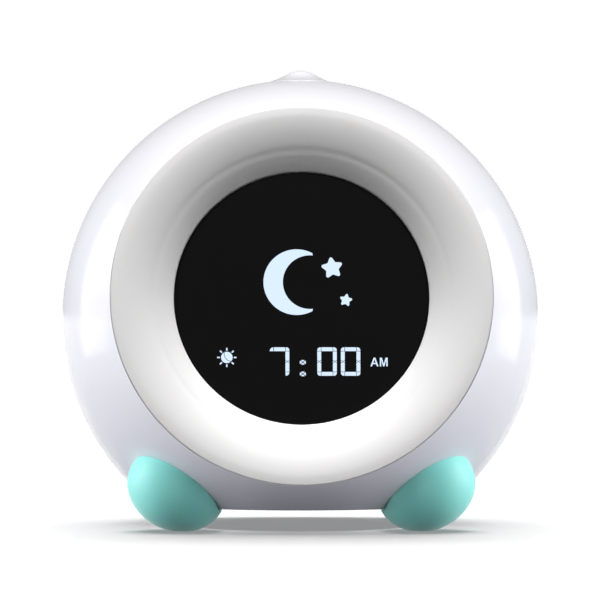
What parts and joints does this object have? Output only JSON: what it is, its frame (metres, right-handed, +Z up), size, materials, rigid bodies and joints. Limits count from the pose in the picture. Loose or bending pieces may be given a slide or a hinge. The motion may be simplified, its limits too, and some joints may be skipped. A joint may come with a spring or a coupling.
{
  "type": "alarm clock",
  "caption": "Round kids' alarm clock with a night-light ring, dark digital display, top push button, rear keypad, battery bay and soft feet.",
  "frame": {"origin": "on the table, under the middle of the clock's box", "axes": "+Z up, the clock's face looks along -Y and up a little, +X is to the right for who looks at the face"},
  "size_m": [0.15, 0.1062, 0.1433],
  "materials": {
    "shell_white": "gloss",
    "ring_white": "satin, passes light",
    "lens_black": "gloss, smoked",
    "panel_white": "fine grain",
    "key_grey": "satin",
    "key_teal": "satin",
    "inner_white": "plain",
    "film": "plain",
    "board_green": "solder mask",
    "board_white": "solder mask",
    "led": "clear",
    "part_black": "plain",
    "zinc": "zinc plated",
    "steel_grey": "plain",
    "spring_steel": "plated",
    "cell": "printed sleeve",
    "rubber_teal": "soft matt",
    "foam": "foam",
    "cone": "paper",
    "wire": "insulation"
  },
  "bodies": {
    "clock": {"front_shell": "shell_white", "rear_shell": "shell_white", "bezel_ring": "ring_white", "display_lens": "lens_black", "segment_film": "film", "segment_housing": "inner_white", "display_board": "board_green", "display_leds": "led", "glow_board": "board_white", "glow_leds": "led", "display_screws": "zinc", "bezel_screws": "zinc", "rear_panel": "panel_white", "panel_screws": "zinc", "key_board": "board_green", "key_switches": "part_black", "key_board_screws": "zinc", "speaker_gasket": "foam", "speaker_frame": "steel_grey", "speaker_cone": "cone", "speaker_magnet": "steel_grey", "speaker_screws": "zinc", "usb_socket": "zinc", "usb_board": "board_green", "main_board": "board_green", "board_chips": "part_black", "board_screws": "zinc", "base_plate": "panel_white", "base_screws": "zinc", "battery_cells": "cell", "contact_plates": "spring_steel", "contact_springs": "spring_steel", "button_spring": "spring_steel", "button_guide": "inner_white", "guide_screws": "zinc", "button_board": "board_green", "button_switch": "part_black", "button_board_screws": "zinc", "front_foot_left": "rubber_teal", "front_foot_right": "rubber_teal", "rear_foot_left": "rubber_teal", "rear_foot_right": "rubber_teal", "foot_screws": "zinc", "shell_screws": "zinc", "battery_lead": "wire", "speaker_lead": "wire", "button_lead": "wire", "display_ribbon": "wire", "key_ribbon": "wire"},
    "button": {"top_button": "shell_white"},
    "door": {"battery_door": "panel_white", "door_screw": "zinc"},
    "key_volume_down": {"key_volume_down": "key_grey"},
    "key_volume_up": {"key_volume_up": "key_grey"},
    "key_sound": {"key_sound": "key_grey"},
    "key_light": {"key_light": "key_grey"},
    "key_nap": {"key_nap": "key_teal"},
    "key_sleep": {"key_sleep": "key_teal"},
    "key_alarm": {"key_alarm": "key_grey"},
    "key_clock": {"key_clock": "key_grey"}
  },
  "joints": [
    {"name": "top_button_press", "type": "slide", "parent": "clock", "child": "button", "axis": [0, 0, -1], "range_m": [0, 0.0015], "stiffness_N_per_m": 400, "springref_m": -0.0015, "deforming": ["button_spring"]},
    {"name": "key_volume_down_press", "type": "slide", "parent": "clock", "child": "key_volume_down", "axis": [0, -1, 0], "range_m": [0, 0.0008], "stiffness_N_per_m": 500, "springref_m": -0.001},
    {"name": "key_volume_up_press", "type": "slide", "parent": "clock", "child": "key_volume_up", "axis": [0, -1, 0], "range_m": [0, 0.0008], "stiffness_N_per_m": 500, "springref_m": -0.001},
    {"name": "key_sound_press", "type": "slide", "parent": "clock", "child": "key_sound", "axis": [0, -1, 0], "range_m": [0, 0.0008], "stiffness_N_per_m": 500, "springref_m": -0.001},
    {"name": "key_light_press", "type": "slide", "parent": "clock", "child": "key_light", "axis": [0, -1, 0], "range_m": [0, 0.0008], "stiffness_N_per_m": 500, "springref_m": -0.001},
    {"name": "key_nap_press", "type": "slide", "parent": "clock", "child": "key_nap", "axis": [0, -1, 0], "range_m": [0, 0.0008], "stiffness_N_per_m": 500, "springref_m": -0.001},
    {"name": "key_sleep_press", "type": "slide", "parent": "clock", "child": "key_sleep", "axis": [0, -1, 0], "range_m": [0, 0.0008], "stiffness_N_per_m": 500, "springref_m": -0.001},
    {"name": "key_alarm_press", "type": "slide", "parent": "clock", "child": "key_alarm", "axis": [0, -1, 0], "range_m": [0, 0.0008], "stiffness_N_per_m": 500, "springref_m": -0.001},
    {"name": "key_clock_press", "type": "slide", "parent": "clock", "child": "key_clock", "axis": [0, -1, 0], "range_m": [0, 0.0008], "stiffness_N_per_m": 500, "springref_m": -0.001},
    {"name": "battery_door_hinge", "type": "hinge", "parent": "clock", "child": "door", "pos_m": [0, -0.01242, 0.0078], "axis": [-1, 0, 0], "range_deg": [0, 75]}
  ]
}
